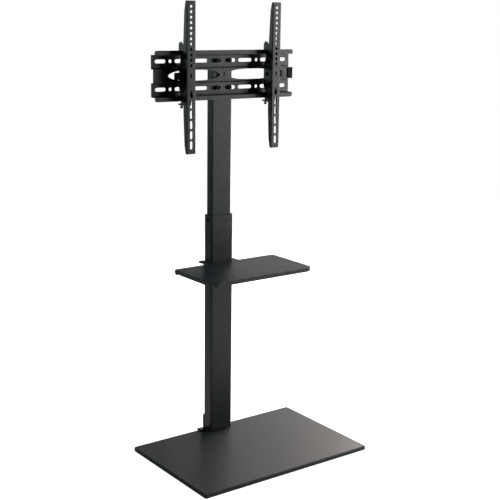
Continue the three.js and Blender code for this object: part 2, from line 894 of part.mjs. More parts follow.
function shelfTray() {
  const left = shelf.offset - shelf.width / 2;
  const right = left + shelf.width;
  const rear = -shelf.setback;
  const front = rear - shelf.depth;
  const planOf = (inset) =>
    rounded([
      [left + inset, front + inset, shelf.cornerRadius - inset],
      [right - inset, front + inset, shelf.cornerRadius - inset],
      [right - inset, rear - inset, shelf.rearRadius - inset],
      [left + inset, rear - inset, shelf.rearRadius - inset],
    ]);
  const shell = roundedTopPlate(planOf, shelf.edgeRadius, [-shelf.flange, 0]);
  const hollow = upPrism(planOf(shelf.sheet), [-shelf.flange - overrun, -shelf.sheet]);
  const rearLip = block(
    [left + shelf.rearRadius, right - shelf.rearRadius],
    [rear - shelf.sheet, rear],
    [-shelf.rearFlange, -shelf.flange / 2],
  );
  const tongueSheet = upPrism(tonguePlan(rear, 0), [-tongue.rim, 0]);
  const tongueHollow = upPrism(tonguePlan(rear, shelf.sheet), [-tongue.rim - overrun, -shelf.sheet]);
  const notchHalf = outerTube.width / 2 + tongue.sideGap;
  const notch = block(
    [-notchHalf, notchHalf],
    [-outerTube.depth / 2 - seat, tongue.end + overrun],
    [-shelf.rearFlange, overrun],
  );
  const cornerDepth = shelf.cornerRadius * (1 - Math.SQRT1_2);
  const seams = [-1, 1].map((side) => {
    const x = side < 0 ? left : right;
    const at = (depth) => [x - side * depth, front + depth];
    const gap = slot(at(cornerDepth - overrun), at(cornerDepth + shelf.sheet + overrun), shelf.seamWidth / 2);
    return upPrism(gap, [-shelf.flange - overrun, -shelf.sheet - seat]);
  });
  const studs = studPlaces().map(([x, y]) => {
    const low = -shelf.sheet - seat - bracket.wall - seat - stud.nutHeight - stud.tail;
    return uprightRod(x, y, stud.radius, [low, -shelf.sheet / 2]);
  });
  const passage = block(
    [-notchHalf - bracket.wall - seat, notchHalf + bracket.wall + seat],
    [rear - shelf.sheet - overrun, rear + overrun],
    [-shelf.rearFlange - overrun, -shelf.sheet],
  );
  const sheets = joined([cut(shell, [hollow]), cut(tongueSheet, [tongueHollow]), rearLip]);
  const tray = cut(sheets, [notch, passage, ...seams]);
  return joined([tray, ...studs]);
}

function shelfBracket() {
  const inside = outerTube.width / 2 + tongue.sideGap;
  const outside = inside + bracket.wall;
  const tubeFront = -outerTube.depth / 2 - seat;
  const nose = tubeFront - bracket.reach;
  const high = -shelf.sheet - seat;
  const low = high - bracket.height;
  const earRear = outerTube.depth / 2 + seat - clamp.gap;
  const earFront = earRear - bracket.earThickness;
  const cheek = rounded([
    [earRear, low],
    [earRear, high],
    [nose, high],
    [nose, high - bracket.noseHeight],
    [tubeFront - bracket.wall, low],
  ]);
  const body = sidePrism(cheek, [-outside, outside]);
  const inner = [-inside, inside];
  const between = block(inner, [nose - overrun, earRear + overrun], [low - overrun, high - bracket.wall]);
  const around = block(inner, [tubeFront, earRear + overrun], [low - overrun, high + overrun]);
  const frontWall = block([-outside, outside], [tubeFront - bracket.wall, tubeFront], [low, high]);
  const ears = [-1, 1].map((side) => {
    const x = sideSpan(side, outside - bracket.wall / 2, outside + bracket.earWidth);
    return block(x, [earFront, earRear], [low, -shelf.sheet - clamp.drop]);
  });
  const nuts = [-1, 1].map((side) =>
    frontPrism(hexagon(side * clampScrewX(), -clampScrew.drop, clampScrew.nutRadius), [
      earFront - clampScrew.nutHeight,
      (earFront + earRear) / 2,
    ]),
  );
  const folded = joined([cut(body, [between, around]), frontWall, ...ears, ...nuts]);
  return cut(folded, [
    ...[-1, 1].map((side) =>
      depthRod(side * clampScrewX(), -clampScrew.drop, clampScrew.shank + bore, [
        earFront - clampScrew.nutHeight - overrun,
        earRear + overrun,
      ]),
    ),
    ...studPlaces().map(([x, y]) =>
      uprightRod(x, y, stud.radius + bore, [high - bracket.wall - overrun, high + overrun]),
    ),
  ]);
}

function clampScrewX() {
  return outerTube.width / 2 + tongue.sideGap + bracket.wall + bracket.earWidth / 2;
}

function shelfClampBar() {
  const half = outerTube.width / 2 + tongue.sideGap + bracket.wall + bracket.earWidth;
  const front = outerTube.depth / 2 + seat;
  const high = -shelf.sheet - clamp.drop;
  const body = block([-half, half], [front, front + clamp.thickness], [high - clamp.height, high]);
  return cut(
    body,
    [-1, 1].map((side) =>
      depthRod(side * clampScrewX(), -clampScrew.drop, clampScrew.shank + bore, [
        front - overrun,
        front + clamp.thickness + overrun,
      ]),
    ),
  );
}

function shelfClampScrew(side) {
  const x = side * clampScrewX();
  const headFront = clampRear + seat;
  const nutFront = outerTube.depth / 2 + seat - clamp.gap - bracket.earThickness - clampScrew.nutHeight;
  const tip = nutFront - clampScrew.tail;
  return joined([
    depthRod(x, -clampScrew.drop, clampScrew.headRadius, [headFront, headFront + clampScrew.headHeight]),
    depthRod(x, -clampScrew.drop, clampScrew.shank, [tip, headFront + clampScrew.headHeight / 2]),
  ]);
}

function shelfNutAt([x, y]) {
  const high = -shelf.sheet - seat - bracket.wall - seat;
  const hole = uprightRod(x, y, stud.radius + bore, [high - stud.nutHeight - overrun, high + overrun]);
  return upPrism(hexagon(x, y, stud.nutRadius), [high - stud.nutHeight, high]).subtract(hole);
}

function makeShelf() {
  const group = new THREE.Group();
  group.position.set(0, columnY, shelf.height);
  group.add(meshOf("shelf_tray", shelfTray(), powderCoatedSteel()));
  group.add(meshOf("shelf_bracket", shelfBracket(), powderCoatedSteel()));
  group.add(meshOf("shelf_clamp_bar", shelfClampBar(), powderCoatedSteel()));
  group.add(meshOf("shelf_clamp_screw_left", shelfClampScrew(-1), blackScrewSteel()));
  group.add(meshOf("shelf_clamp_screw_right", shelfClampScrew(1), blackScrewSteel()));
  studPlaces().forEach((place, i) => {
    group.add(meshOf("shelf_nut_" + (i + 1), shelfNutAt(place), zincSteel()));
  });
  return group;
}

// Arms and brackets, drawn from the tilt axis: x across, y to the rear, z up
function armSideOutline() {
  const face = -arm.face;
  const depthAt = (depth) => -arm.face + depth;
  const halfLug = arm.lugHeight / 2;
  const upper = [
    [depthAt(arm.midDepth), arm.rise - arm.taperLength],
    [depthAt(arm.shoulderDepth), arm.rise - arm.shoulderLength],
    [depthAt(arm.tipDepth), arm.rise, arm.tipRadius],
  ];
  const lower = [
    [depthAt(arm.tipDepth), -arm.drop, arm.tipRadius],
    [depthAt(arm.shoulderDepth), -arm.drop + arm.shoulderLength],
    [depthAt(arm.midDepth), -arm.drop + arm.taperLength],
  ];
  return rounded([
    [face, -arm.drop],
    ...lower,
    [depthAt(arm.midDepth), -halfLug - arm.lugRamp],
    [depthAt(arm.lugDepth), -halfLug, arm.tipRadius],
    [depthAt(arm.lugDepth), halfLug, arm.tipRadius],
    [depthAt(arm.midDepth), halfLug + arm.lugRamp],
    ...upper,
    [face, arm.rise],
  ]);
}

function channelPlan(half, front, rear, radius) {
  return rounded([
    [-half, front, radius],
    [half, front, radius],
    [half, rear],
    [-half, rear],
  ]);
}

function armFaceShapes() {
  const rounds = Array.from({ length: armHole.count }, (_, i) =>
    disc(0, arm.rise - armHole.first - i * armHole.pitch, armHole.radius, smallSides),
  );
  const reach = armSlot.length / 2 - armSlot.radius;
  const slots = Array.from({ length: armSlot.count }, (_, i) => {
    const z = -arm.drop + armSlot.first + i * armSlot.pitch;
    return slot([0, z - reach], [0, z + reach], armSlot.radius);
  });
  return [
    ...rounds,
    ...slots,
    disc(0, armSlit.rise, armSlit.radius, smallSides),
    slot([0, armSlit.rise - armSlit.tail], [0, armSlit.rise], armSlit.tailRadius),
    slot([0, -armKey.drop], [0, -armKey.drop + armKey.length], armKey.radius),
    slot([0, -armKey.drop], [0, -armKey.drop + armKey.neckLength], armKey.neckRadius),
  ];
}

function guidePlaces() {
  return [
    [-guide.ahead, guide.rise],
    [-guide.ahead, -guide.rise],
  ];
}

function guideArc([y, z]) {
  const radius = Math.hypot(y, z);
  const angle = Math.atan2(z, y);
  const forward = THREE.MathUtils.degToRad(tilt.forward + tilt.spare);
  const back = THREE.MathUtils.degToRad(tilt.back + tilt.spare);
  return bentSlot(0, 0, radius, angle - forward, angle + back, guide.shank + bore);
}

function armSolid() {
  const ends = [-arm.drop - overrun, arm.rise + overrun];
  const rear = arm.lugDepth - arm.face + overrun;
  const outside = sidePrism(armSideOutline(), [-armHalf, armHalf]).intersect(
    upPrism(channelPlan(armHalf, -arm.face, rear, arm.bend), ends),
  );
  const innerHalf = armHalf - arm.sheet;
  const innerRadius = Math.max(arm.bend - arm.sheet, 0);
  const hollow = upPrism(channelPlan(innerHalf, -arm.face + arm.sheet, rear, innerRadius), ends);
  const across = [-armHalf - overrun, armHalf + overrun];
  const face = [-arm.face - overrun, -arm.face + arm.sheet + overrun];
  return cut(outside, [
    hollow,
    ...armFaceShapes().map((shape) => frontPrism(shape, face)),
    crossRod(0, 0, pivot.shank + bore, across),
    ...guidePlaces().map((place) => sidePrism(guideArc(place), across)),
  ]);
}

function hookBracketSolid() {
  const lipFace = pivot.ahead - seat;
  const tipFront = pivot.ahead + plate.sheet + seat;
  const tipRear = tipFront + hook.tipThickness;
  const lipTop = plate.height / 2;
  const side = rounded([
    [-hook.footAhead, -hook.footDrop],
    [lipFace, -hook.footDrop],
    [lipFace, -hook.bulgeFoot],
    [lipFace + hook.bulge, -hook.bulgeDrop],
    [lipFace + hook.bulge, hook.bulgeRise],
    [lipFace, hook.bulgeHead],
    [lipFace, lipTop + seat],
    [tipFront, lipTop + seat],
    [tipFront, lipTop - hook.tipDrop],
    [tipRear, lipTop - hook.tipDrop, hook.tipRadius],
    [tipRear, hook.crown, hook.crownRadius],
    [hook.crownBehind, hook.crown, hook.crownFrontRadius],
    [-hook.browAhead, hook.crown - hook.browDrop, hook.browRadius],
    [-hook.nose, hook.noseTop],
    [-hook.nose, -hook.noseBottom],
  ]);
  const whole = sidePrism(side, [-hookHalf, hookHalf]);
  const innerHalf = hookHalf - hook.sheet;
  const inner = [-innerHalf, innerHalf];
  const noseRear = -hook.nose + hook.sheet;
  const between = joined([
    block(inner, [noseRear, tipRear + overrun], [-hook.footDrop - overrun, hook.crown + overrun]),
    block(inner, [-hook.nose - overrun, tipRear], [hook.noseTop, hook.crown + overrun]),
    block(inner, [-hook.nose - overrun, tipRear], [-hook.footDrop - overrun, -hook.noseBottom]),
  ]);
  const tabHeight = [-hook.footDrop, -hook.footDrop + hook.tabThickness];
  const floor = block([-hookHalf, hookHalf], [-hook.footAhead, lipFace], tabHeight);
  const tab = block([-hook.tabHalf, hook.tabHalf], [0, pivot.ahead + hook.tabReach], tabHeight);
  const across = [-hookHalf - overrun, hookHalf + overrun];
  const tabHole = uprightRod(0, lockScrewY(), lockScrew.shank + bore, [
    -hook.footDrop - overrun,
    -hook.footDrop + hook.tabThickness + overrun,
  ]);
  return cut(joined([cut(whole, [between]), floor, tab]), [
    tabHole,
    crossRod(0, 0, pivot.shank + bore, across),
    ...guidePlaces().map(([y, z]) => crossRod(y, z, guide.shank + bore, across)),
  ]);
}

function lockScrewY() {
  return pivot.ahead + plate.sheet + lockScrew.behindLip;
}

function lockScrewSolid() {
  const tip = -plate.height / 2 + plate.lip - plate.sheet - lockScrew.gap;
  const headTop = -hook.footDrop - lockScrew.neck;
  const y = lockScrewY();
  const profile = [
    [0, headTop - lockScrew.headHeight],
    [lockScrew.headRadius, headTop - lockScrew.headHeight],
    [lockScrew.headRadius, headTop - lockScrew.headHeight / 2],
    [lockScrew.shank, headTop],
    [lockScrew.shank, tip],
    [0, tip],
  ].map(([r, z]) => new THREE.Vector2(r, z));
  const geometry = new THREE.LatheGeometry(profile, smallSides);
  return solidOf(geometry.rotateX(Math.PI / 2).translate(0, y, 0));
}

function pivotBoltSolid(side) {
  const headFace = armHalf + seat;
  const root = headFace + pivot.headHeight / 2;
  const tip = armHalf + pivot.tail;
  return joined([
    crossRod(0, 0, pivot.headRadius, sideSpan(-side, headFace, headFace + pivot.headHeight), roundSides),
    crossRod(0, 0, pivot.shank, sideSpan(side, -root, tip)),
  ]);
}

function knobSolid(side) {
  const face = armHalf + seat;
  const span = sideSpan(side, face, face + knob.height);
  const body = sidePrism(centredRectangle(2 * knob.half, 2 * knob.half, knob.cornerRadius), span);
  const through = [span[0] - overrun, span[1] + overrun];
  const reach = knob.half + knob.grooveRadius / 2;
  const grooves = [
    [-reach, 0],
    [reach, 0],
    [0, -reach],
    [0, reach],
  ].map(([y, z]) => crossRod(y, z, knob.grooveRadius, through));
  const hole = sideSpan(side, face - overrun, face + knob.boreDepth);
  return cut(body, [...grooves, crossRod(0, 0, pivot.shank + bore, hole)]);
}

function guideBoltSolid([y, z]) {
  const face = armHalf + seat;
  return joined([
    crossRod(y, z, guide.headRadius, [-face - guide.headHeight, -face], roundSides),
    crossRod(y, z, guide.shank, [-face - guide.headHeight / 2, face + guide.nutHeight + guide.tail]),
  ]);
}

function guideNutSolid([y, z]) {
  const face = armHalf + seat;
  const hole = crossRod(y, z, guide.shank + bore, [face - overrun, face + guide.nutHeight + overrun]);
  return sidePrism(hexagon(y, z, guide.nutRadius), [face, face + guide.nutHeight]).subtract(hole);
}

function makeArm(side, name) {
  const group = new THREE.Group();
  group.position.set(armPlace[name], columnY + pivotY, plate.centre);
  group.add(meshOf("arm_" + name, armSolid(), powderCoatedSteel()));
  group.add(meshOf("hook_bracket_" + name, hookBracketSolid(), powderCoatedSteel()));
  group.add(meshOf("pivot_bolt_" + name, pivotBoltSolid(side), blackScrewSteel()));
  group.add(meshOf("tilt_knob_" + name, knobSolid(side), blackPlastic()));
  group.add(meshOf("lock_screw_" + name, lockScrewSolid(), blackScrewSteel()));
  ["upper", "lower"].forEach((row, i) => {
    const place = guidePlaces()[i];
    group.add(meshOf("guide_bolt_" + row + "_" + name, guideBoltSolid(place), blackScrewSteel()));
    group.add(meshOf("guide_nut_" + row + "_" + name, guideNutSolid(place), zincSteel()));
  });
  return group;
}

// The whole stand, with its origin on the floor under the middle of its box
const stand = new THREE.Group();
stand.name = "tv_stand_with_mount";
stand.position.set(0, -originShift, 0);
stand.add(makeBase(), makeColumn(), makeShelf(), makeMast());
stand.add(makeArm(-1, "left"), makeArm(1, "right"));

export default stand;
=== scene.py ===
import json
import math

import bmesh
import bpy
from mathutils import Matrix, Vector


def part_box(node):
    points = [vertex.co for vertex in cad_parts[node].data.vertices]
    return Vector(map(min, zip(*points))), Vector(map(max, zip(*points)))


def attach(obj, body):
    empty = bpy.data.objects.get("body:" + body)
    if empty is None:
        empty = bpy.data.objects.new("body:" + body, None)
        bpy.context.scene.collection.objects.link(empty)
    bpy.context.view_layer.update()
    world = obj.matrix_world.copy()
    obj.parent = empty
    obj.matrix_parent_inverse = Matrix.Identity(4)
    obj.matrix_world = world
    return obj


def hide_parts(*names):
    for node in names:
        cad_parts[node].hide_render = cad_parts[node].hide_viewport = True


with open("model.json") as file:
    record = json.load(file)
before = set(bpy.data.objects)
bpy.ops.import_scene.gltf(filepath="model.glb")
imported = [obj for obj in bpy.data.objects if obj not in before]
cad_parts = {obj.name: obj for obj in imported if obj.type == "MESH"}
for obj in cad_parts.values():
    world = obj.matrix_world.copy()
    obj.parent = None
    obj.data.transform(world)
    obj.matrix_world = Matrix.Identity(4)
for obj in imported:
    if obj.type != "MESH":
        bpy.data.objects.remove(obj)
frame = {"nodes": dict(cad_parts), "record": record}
nodes = frame["nodes"]
bodyOf = {name: body for body, names in frame["record"]["behaviour"]["bodies"].items() for name in names}
slotOf = {part["node"]: part["material_slot"] for part in frame["record"]["subparts"]}
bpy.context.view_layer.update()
scene = bpy.context.scene

# Units and small tolerances
mm = 0.001
weld = 0.02 * mm
flatAngle = math.radians(1)
sharpAngle = math.radians(32)
foldAngle = math.radians(50)


def linear(colour):
    channels = [int(colour[i : i + 2], 16) / 255 for i in (1, 3, 5)]
    curve = [c / 12.92 if c <= 0.04045 else ((c + 0.055) / 1.055) ** 2.4 for c in channels]
    return (*curve, 1)


# Materials
def addNode(tree, kind, settings=None, links=None):
    node = tree.nodes.new(kind)
    for name, value in (settings or {}).items():
        if isinstance(name, int) or name in node.inputs:
            node.inputs[name].default_value = value
        else:
            setattr(node, name, value)
    for name, socket in (links or {}).items():
        tree.links.new(socket, node.inputs[name])
    return node


def newMaterial(name):
    material = bpy.data.materials.new(name)
    material.use_nodes = True
    material.node_tree.nodes.clear()
    return material, material.node_tree


# Two tones of one paint or film, blended where a slow noise runs through its blend range.
def blendedTone(tree, fac, look):
    low, high = look["blend"]
    share = addNode(tree, "ShaderNodeMapRange", {"From Min": low, "From Max": high}, {"Value": fac})
    tones = {"data_type": "RGBA", 6: linear(look["dark"]), 7: linear(look["light"])}
    return addNode(tree, "ShaderNodeMix", tones, {0: share.outputs["Result"]}).outputs[2]


def unevenRoughness(tree, fac, look):
    low = look["roughness"] - look["unevenness"]
    high = look["roughness"] + look["unevenness"]
    share = addNode(tree, "ShaderNodeMapRange", {"To Min": low, "To Max": high}, {"Value": fac})
    return share.outputs["Result"]


def powderCoat(name, look):
    # baked powder paint: a pebbled skin with small glints and a slow cloud of tone
    # the real grain is finer, and is drawn as coarse as it needs to show
    material, tree = newMaterial(name)
    place = addNode(tree, "ShaderNodeTexCoord").outputs["Object"]
    cloudSettings = {"Scale": 1 / look["cloudSize"], "Detail": 3}
    cloud = addNode(tree, "ShaderNodeTexNoise", cloudSettings, {"Vector": place}).outputs["Fac"]
    pebbleSettings = {"Scale": 1 / look["pebbleSize"], "Detail": 2, "Roughness": 0.6}
    pebble = addNode(tree, "ShaderNodeTexNoise", pebbleSettings, {"Vector": place}).outputs["Fac"]
    gritSettings = {"Scale": 1 / look["gritSize"], "Detail": 1}
    grit = addNode(tree, "ShaderNodeTexNoise", gritSettings, {"Vector": place}).outputs["Fac"]
    height = addNode(
        tree,
        "ShaderNodeMath",
        {"operation": "MULTIPLY_ADD", 1: look["gritShare"]},
        {0: grit, 2: pebble},
    )
    bump = addNode(
        tree,
        "ShaderNodeBump",
        {"Strength": look["relief"], "Distance": look["pebbleDepth"]},
        {"Height": height.outputs["Value"]},
    )
    shader = addNode(
        tree,
        "ShaderNodeBsdfPrincipled",
        {"IOR": 1.5, "Specular IOR Level": look["specular"]},
        {
            "Base Color": blendedTone(tree, cloud, look),
            "Roughness": unevenRoughness(tree, pebble, look),
            "Normal": bump.outputs["Normal"],
        },
    )
    addNode(tree, "ShaderNodeOutputMaterial", links={"Surface": shader.outputs["BSDF"]})
    return material


def screwSteel(name, look):
    # oxidised or plated steel: metal with faint turning marks and a slightly uneven film
    material, tree = newMaterial(name)
    place = addNode(tree, "ShaderNodeTexCoord").outputs["Object"]
    filmSettings = {"Scale": 1 / look["filmSize"], "Detail": 3}
    film = addNode(tree, "ShaderNodeTexNoise", filmSettings, {"Vector": place}).outputs["Fac"]
    markSettings = {"Scale": 1 / look["markSize"], "Detail": 1}
    marks = addNode(tree, "ShaderNodeTexNoise", markSettings, {"Vector": place}).outputs["Fac"]
    bump = addNode(
        tree,
        "ShaderNodeBump",
        {"Strength": look["relief"], "Distance": look["markDepth"]},
        {"Height": marks},
    )
    shader = addNode(
        tree,
        "ShaderNodeBsdfPrincipled",
        {"Metallic": look["metallic"]},
        {
            "Base Color": blendedTone(tree, film, look),
            "Roughness": unevenRoughness(tree, film, look),
            "Normal": bump.outputs["Normal"],
        },
    )
    addNode(tree, "ShaderNodeOutputMaterial", links={"Surface": shader.outputs["BSDF"]})
    return material


def mouldedPlastic(name, look):
    # moulded plastic or rubber: spark-eroded grain with a soft sheen
    material, tree = newMaterial(name)
    place = addNode(tree, "ShaderNodeTexCoord").outputs["Object"]
    cloudSettings = {"Scale": 1 / look["cloudSize"], "Detail": 2}
    cloud = addNode(tree, "ShaderNodeTexNoise", cloudSettings, {"Vector": place}).outputs["Fac"]
    grainSettings = {"Scale": 1 / look["grainSize"], "Detail": 2, "Roughness": 0.6}
    grain = addNode(tree, "ShaderNodeTexNoise", grainSettings, {"Vector": place}).outputs["Fac"]
    bump = addNode(
        tree,
        "ShaderNodeBump",
        {"Strength": look["relief"], "Distance": look["grainDepth"]},
        {"Height": grain},
    )
    shader = addNode(
        tree,
        "ShaderNodeBsdfPrincipled",
        {"IOR": 1.46, "Specular IOR Level": look["specular"]},
        {
            "Base Color": blendedTone(tree, cloud, look),
            "Roughness": unevenRoughness(tree, grain, look),
            "Normal": bump.outputs["Normal"],
        },
    )
    addNode(tree, "ShaderNodeOutputMaterial", links={"Surface": shader.outputs["BSDF"]})
    return material


sandyTop = {
    "dark": "#1a1f21",
    "light": "#22282a",
    "blend": (0.3, 0.7),
    "cloudSize": 14 * mm,
    "pebbleSize": 3.2 * mm,
    "gritSize": 0.8 * mm,
    "gritShare": 0.4,
    "pebbleDepth": 0.3 * mm,
    "relief": 1,
    "roughness": 0.55,
    "unevenness": 0.06,
    "specular": 0.6,
}
tubeSkin = {
    **sandyTop,
    "dark": "#191e20",
    "light": "#1f2527",
    "pebbleSize": 4 * mm,
    "gritSize": 1.2 * mm,
    "pebbleDepth": 0.45 * mm,
    "roughness": 0.36,
    "specular": 0.5,
}
mountSkin = {
    **sandyTop,
    "dark": "#16181a",
    "light": "#1c1e20",
    "pebbleSize": 1.6 * mm,
    "gritSize": 0.5 * mm,
    "relief": 0.4,
    "roughness": 0.42,
}
oxideFilm = {
    "dark": "#0c0d0e",
    "light": "#141516",
    "blend": (0.35, 0.65),
    "filmSize": 3 * mm,
    "markSize": 0.35 * mm,
    "markDepth": 0.05 * mm,
    "relief": 0.25,
    "metallic": 0.85,
    "roughness": 0.36,
    "unevenness": 0.07,
}
zincFilm = {**oxideFilm, "dark": "#8b8f92", "light": "#a3a6a6", "roughness": 0.34}
nylonSkin = {
    "dark": "#040505",
    "light": "#070808",
    "blend": (0.3, 0.7),
    "cloudSize": 8 * mm,
    "grainSize": 0.5 * mm,
    "grainDepth": 0.08 * mm,
    "relief": 0.4,
    "roughness": 0.62,
    "unevenness": 0.08,
    "specular": 0.2,
}
rubberSkin = {**nylonSkin, "dark": "#0f0f0f", "light": "#151515", "grainSize": 0.8 * mm, "roughness": 0.82}
coatTop = powderCoat("sandy powder coat of base and shelf", sandyTop)
coatTube = powderCoat("leather grain powder coat of the tubes", tubeSkin)
coatMount = powderCoat("satin powder coat of the mount", mountSkin)
blackSteel = screwSteel("black oxidised screw steel", oxideFilm)
zincSteel = screwSteel("zinc plated nut steel", zincFilm)
blackPlastic = mouldedPlastic("black moulded plastic", nylonSkin)
blackRubber = mouldedPlastic("black foot rubber", rubberSkin)
print("materials made")


# Pieces
def addPiece(name, bm, material, node, weighted=False):
    mesh = bpy.data.meshes.new(name)
    bm.to_mesh(mesh)
    bm.free()
    mesh.materials.append(material)
    piece = bpy.data.objects.new(name, mesh)
    scene.collection.objects.link(piece)
    if weighted:
        piece.modifiers.new("even shading", "WEIGHTED_NORMAL").keep_sharp = True
    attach(piece, bodyOf[node])
    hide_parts(node)


def sharpEdges(bm, angle):
    return [e for e in bm.edges if len(e.link_faces) == 2 and e.calc_face_angle() > angle]


def shadeSmooth(bm, angle):
    for face in bm.faces:
        face.smooth = True
    for edge in sharpEdges(bm, angle):
        edge.smooth = False


# A folded, cut or moulded piece takes the node's own form, merged, with its edges softly broken.
def sheetPiece(node, look):
    bm = bmesh.new()
    bm.from_mesh(nodes[node].data)
    bmesh.ops.remove_doubles(bm, verts=bm.verts, dist=weld)
    bmesh.ops.dissolve_limit(bm, angle_limit=flatAngle, verts=bm.verts, edges=bm.edges)
    bmesh.ops.bevel(
        bm,
        geom=sharpEdges(bm, sharpAngle),
        offset=look["edge"],
        offset_type="OFFSET",
        segments=2,
        profile=0.5,
        affect="EDGES",
        clamp_overlap=True,
        material=-1,
    )
    shadeSmooth(bm, foldAngle)
    addPiece(node + "_form", bm, look["material"], node, weighted=True)


sheets = {
    "base_pan": {"edge": 0.3 * mm, "material": coatTop},
    "shelf_tray": {"edge": 0.3 * mm, "material": coatTop},
    "shelf_bracket": {"edge": 0.35 * mm, "material": coatTube},
    "shelf_clamp_bar": {"edge": 0.35 * mm, "material": coatTube},
    "foot_bracket": {"edge": 0.4 * mm, "material": coatTube},
    "outer_tube": {"edge": 0.3 * mm, "material": coatTube},
    "inner_tube": {"edge": 0.3 * mm, "material": coatTube},
    "hook_plate": {"edge": 0.25 * mm, "material": coatMount},
    "arm_left": {"edge": 0.25 * mm, "material": coatMount},
    "arm_right": {"edge": 0.25 * mm, "material": coatMount},
    "hook_bracket_left": {"edge": 0.3 * mm, "material": coatMount},
    "hook_bracket_right": {"edge": 0.3 * mm, "material": coatMount},
    "guide_collar": {"edge": 0.3 * mm, "material": blackPlastic},
    "tube_cap": {"edge": 0.8 * mm, "material": blackPlastic},
    "end_stop": {"edge": 0.7 * mm, "material": blackPlastic},
    "base_pad_front_left": {"edge": 1 * mm, "material": blackRubber},
    "base_pad_front_right": {"edge": 1 * mm, "material": blackRubber},
    "base_pad_rear_left": {"edge": 1 * mm, "material": blackRubber},
    "base_pad_rear_right": {"edge": 1 * mm, "material": blackRubber},
}
for node, look in sheets.items():
    sheetPiece(node, look)
print("sheets made")

# Screws, nuts and knobs: rings (height, radius, form) in mm, from the outer end of the head inwards
turned = {"sides": 24, "threadShare": 0.3}  # corners of a ring, thread depth as a share of its pitch
knurl = {"count": 12, "depth": 0.04}
knobBlock = {"squareness": 9, "grooveDepth": 0.06, "grooveSharpness": 40}


def roundForm(angle):
    return 1


def hexForm(angle):
    sixth = math.pi / 3
    return math.cos(sixth / 2) / math.cos(angle % sixth - sixth / 2)


def squareForm(angle):
    power = knobBlock["squareness"]
    block = (abs(math.cos(angle)) ** power + abs(math.sin(angle)) ** power) ** (-1 / power)
    groove = math.cos(2 * angle) ** knobBlock["grooveSharpness"]
    return block - knobBlock["grooveDepth"] * groove


def knurlForm(angle):
    return 1 - knurl["depth"] + knurl["depth"] * math.cos(knurl["count"] * angle)


def threadRings(radius, start, end, pitch):
    depth = turned["threadShare"] * pitch
    turns = int((end - start) / pitch)
    rings = [(start, radius, roundForm)]
    for i in range(turns):
        rings.append((start + (i + 0.5) * pitch, radius - depth, roundForm))
        rings.append((start + (i + 1) * pitch, radius, roundForm))
    return [*rings, (end, radius - 2 * depth, roundForm)]


def ringedBody(rings, sides, hollow):
    bm = bmesh.new()
    verts = bmesh.ops.create_circle(bm, segments=sides, radius=1)["verts"]
    edges = list(bm.edges)
    ends = list(edges)
    for i, (height, radius, form) in enumerate(rings):
        if i > 0:
            grown = bmesh.ops.extrude_edge_only(bm, edges=edges)["geom"]
            verts = [part for part in grown if isinstance(part, bmesh.types.BMVert)]
            edges = [e for e in bm.edges if e.verts[0] in verts and e.verts[1] in verts]
        for vert in verts:
            angle = math.atan2(vert.co.y, vert.co.x)
            reach = radius * form(angle) * mm
            vert.co = (reach * math.cos(angle), reach * math.sin(angle), height * mm)
    if hollow:
        bmesh.ops.bridge_loops(bm, edges=ends + edges)
    else:
        bmesh.ops.holes_fill(bm, edges=ends + edges, sides=0)
    bmesh.ops.recalc_face_normals(bm, faces=bm.faces)
    return bm


def hardware(node, look, along):
    low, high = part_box(node)
    axis = max(range(3), key=lambda i: abs(along[i]))
    start = (low + high) / 2
    start[axis] = low[axis] if along[axis] > 0 else high[axis]
    rings = list(look["rings"])
    if "shank" in look:
        length = (high[axis] - low[axis]) / mm
        rings += threadRings(look["shank"], rings[-1][0], length, look["pitch"])
    bm = ringedBody(rings, look.get("sides", turned["sides"]), look.get("hollow", False))
    turn = Vector(along).to_track_quat("Z", "Y").to_matrix().to_4x4()
    bmesh.ops.transform(bm, matrix=Matrix.Translation(start) @ turn, verts=bm.verts)
    shadeSmooth(bm, sharpAngle)
    addPiece(node + "_form", bm, look["material"], node)


flangedBolt = {
    "material": blackSteel,
    "rings": [
        (1.1, 2.6, roundForm),
        (0.2, 3.8, roundForm),
        (0, 4.6, roundForm),
        (0.6, 5.8, hexForm),
        (4.9, 5.8, hexForm),
        (5.2, 6.5, roundForm),
        (6.2, 7.1, roundForm),
        (6.6, 7, roundForm),
    ],
    "shank": 3,
    "pitch": 1,
}
domedBolt = {
    "material": blackSteel,
    "rings": [
        (1.8, 2.3, hexForm),
        (0.2, 2.4, hexForm),
        (0.05, 3, roundForm),
        (0, 4, roundForm),
        (0.3, 6.1, roundForm),
        (1, 7.9, roundForm),
        (1.9, 8.8, roundForm),
        (2.4, 9, roundForm),
        (2.6, 8.8, roundForm),
    ],
    "shank": 3,
    "pitch": 1,
}
pivotBolt = {
    "material": blackSteel,
    "rings": [
        (2.2, 2.3, hexForm),
        (0.2, 2.4, hexForm),
        (0, 2.9, roundForm),
        (0.05, 4.1, roundForm),
        (0.6, 4.9, roundForm),
        (3.8, 5, roundForm),
        (4, 4.8, roundForm),
    ],
    "shank": 4,
    "pitch": 1.25,
}
capScrew = {
    "material": blackSteel,
    "rings": [
        (2.3, 2.4, hexForm),
        (0.2, 2.5, hexForm),
        (0, 3, roundForm),
        (0, 4.7, roundForm),
        (0.5, 5.3, knurlForm),
        (3.6, 5.5, knurlForm),
        (4, 5.1, roundForm),
    ],
    "shank": 4,
    "pitch": 1.25,
}
clampScrew = {**capScrew, "shank": 3, "pitch": 1}
wallScrew = {
    "material": blackSteel,
    "rings": [
        (2, 2.4, hexForm),
        (0.2, 2.5, hexForm),
        (0, 3.2, roundForm),
        (0.4, 5, roundForm),
        (1.4, 6.2, roundForm),
        (2.8, 6.5, roundForm),
        (3.5, 6.4, roundForm),
    ],
    "shank": 4,
    "pitch": 1.25,
}
